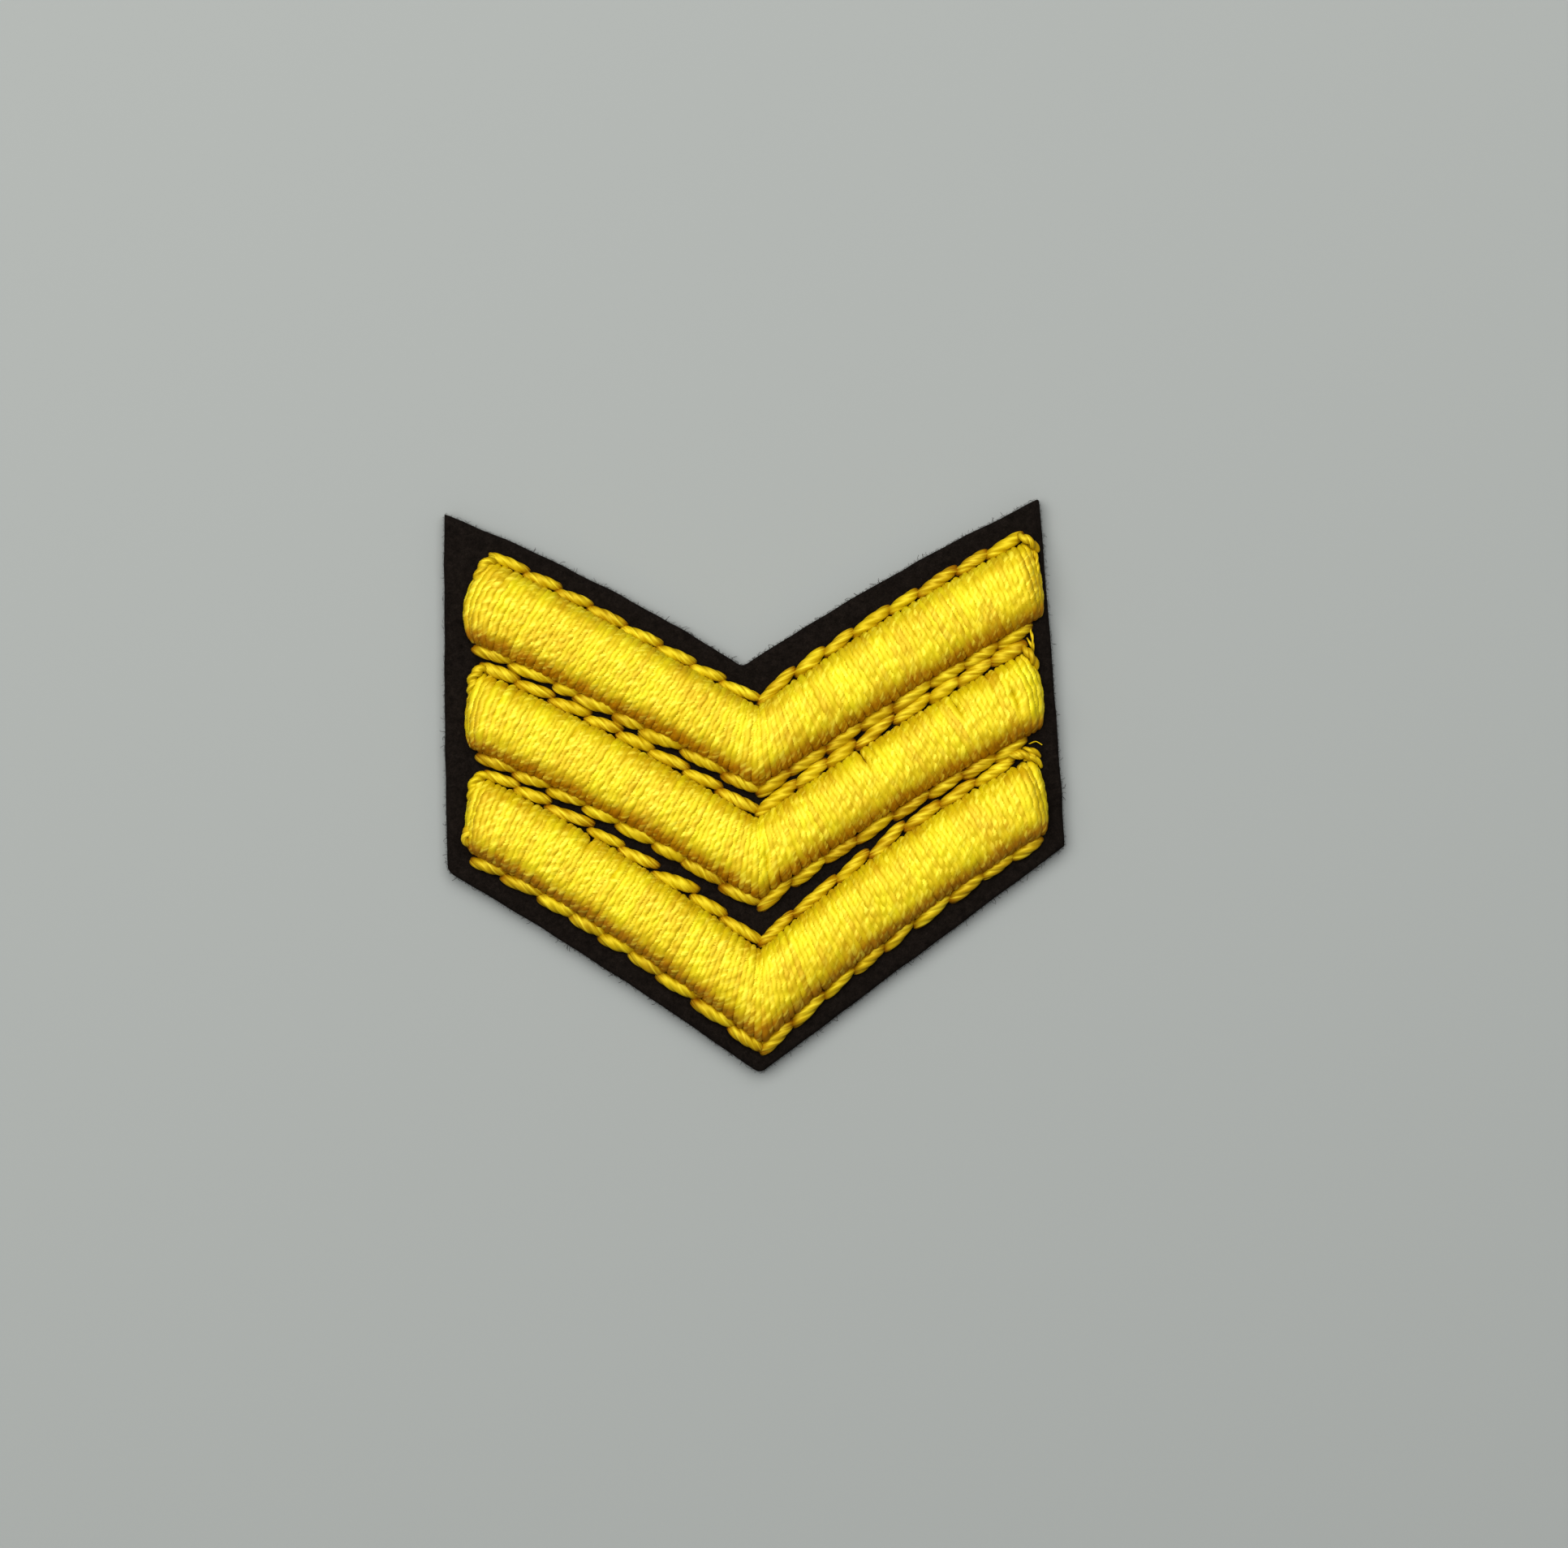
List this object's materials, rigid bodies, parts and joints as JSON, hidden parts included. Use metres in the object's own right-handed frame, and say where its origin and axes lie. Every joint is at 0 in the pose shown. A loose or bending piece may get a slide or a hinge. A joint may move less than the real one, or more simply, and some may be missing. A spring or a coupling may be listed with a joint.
{
  "type": "chevron rank patch",
  "caption": "Small embroidered rank patch: padded gold satin chevrons with stitched outlines on a black felt backing cut to a V-notched, pointed shape.",
  "frame": {"origin": "centre of the patch's outline on the surface that its back lies on", "axes": "+Z out of the embroidered face, +Y towards the open V of the chevrons, +X to the right when the face is looked at"},
  "size_m": [0.0448, 0.0414, 0.0032],
  "materials": {
    "felt": "black cut felt, matt and slightly fuzzy",
    "satin_thread": "bright gold satin-stitched embroidery thread",
    "outline_thread": "gold twisted outline thread, a little duller than the satin"
  },
  "bodies": {
    "root": {"felt_backing": "felt", "top_chevron": "satin_thread", "middle_chevron": "satin_thread", "bottom_chevron": "satin_thread", "top_upper_outline": "outline_thread", "top_lower_outline": "outline_thread", "middle_upper_outline": "outline_thread", "middle_lower_outline": "outline_thread", "bottom_upper_outline": "outline_thread", "bottom_lower_outline": "outline_thread"}
  },
  "joints": []
}
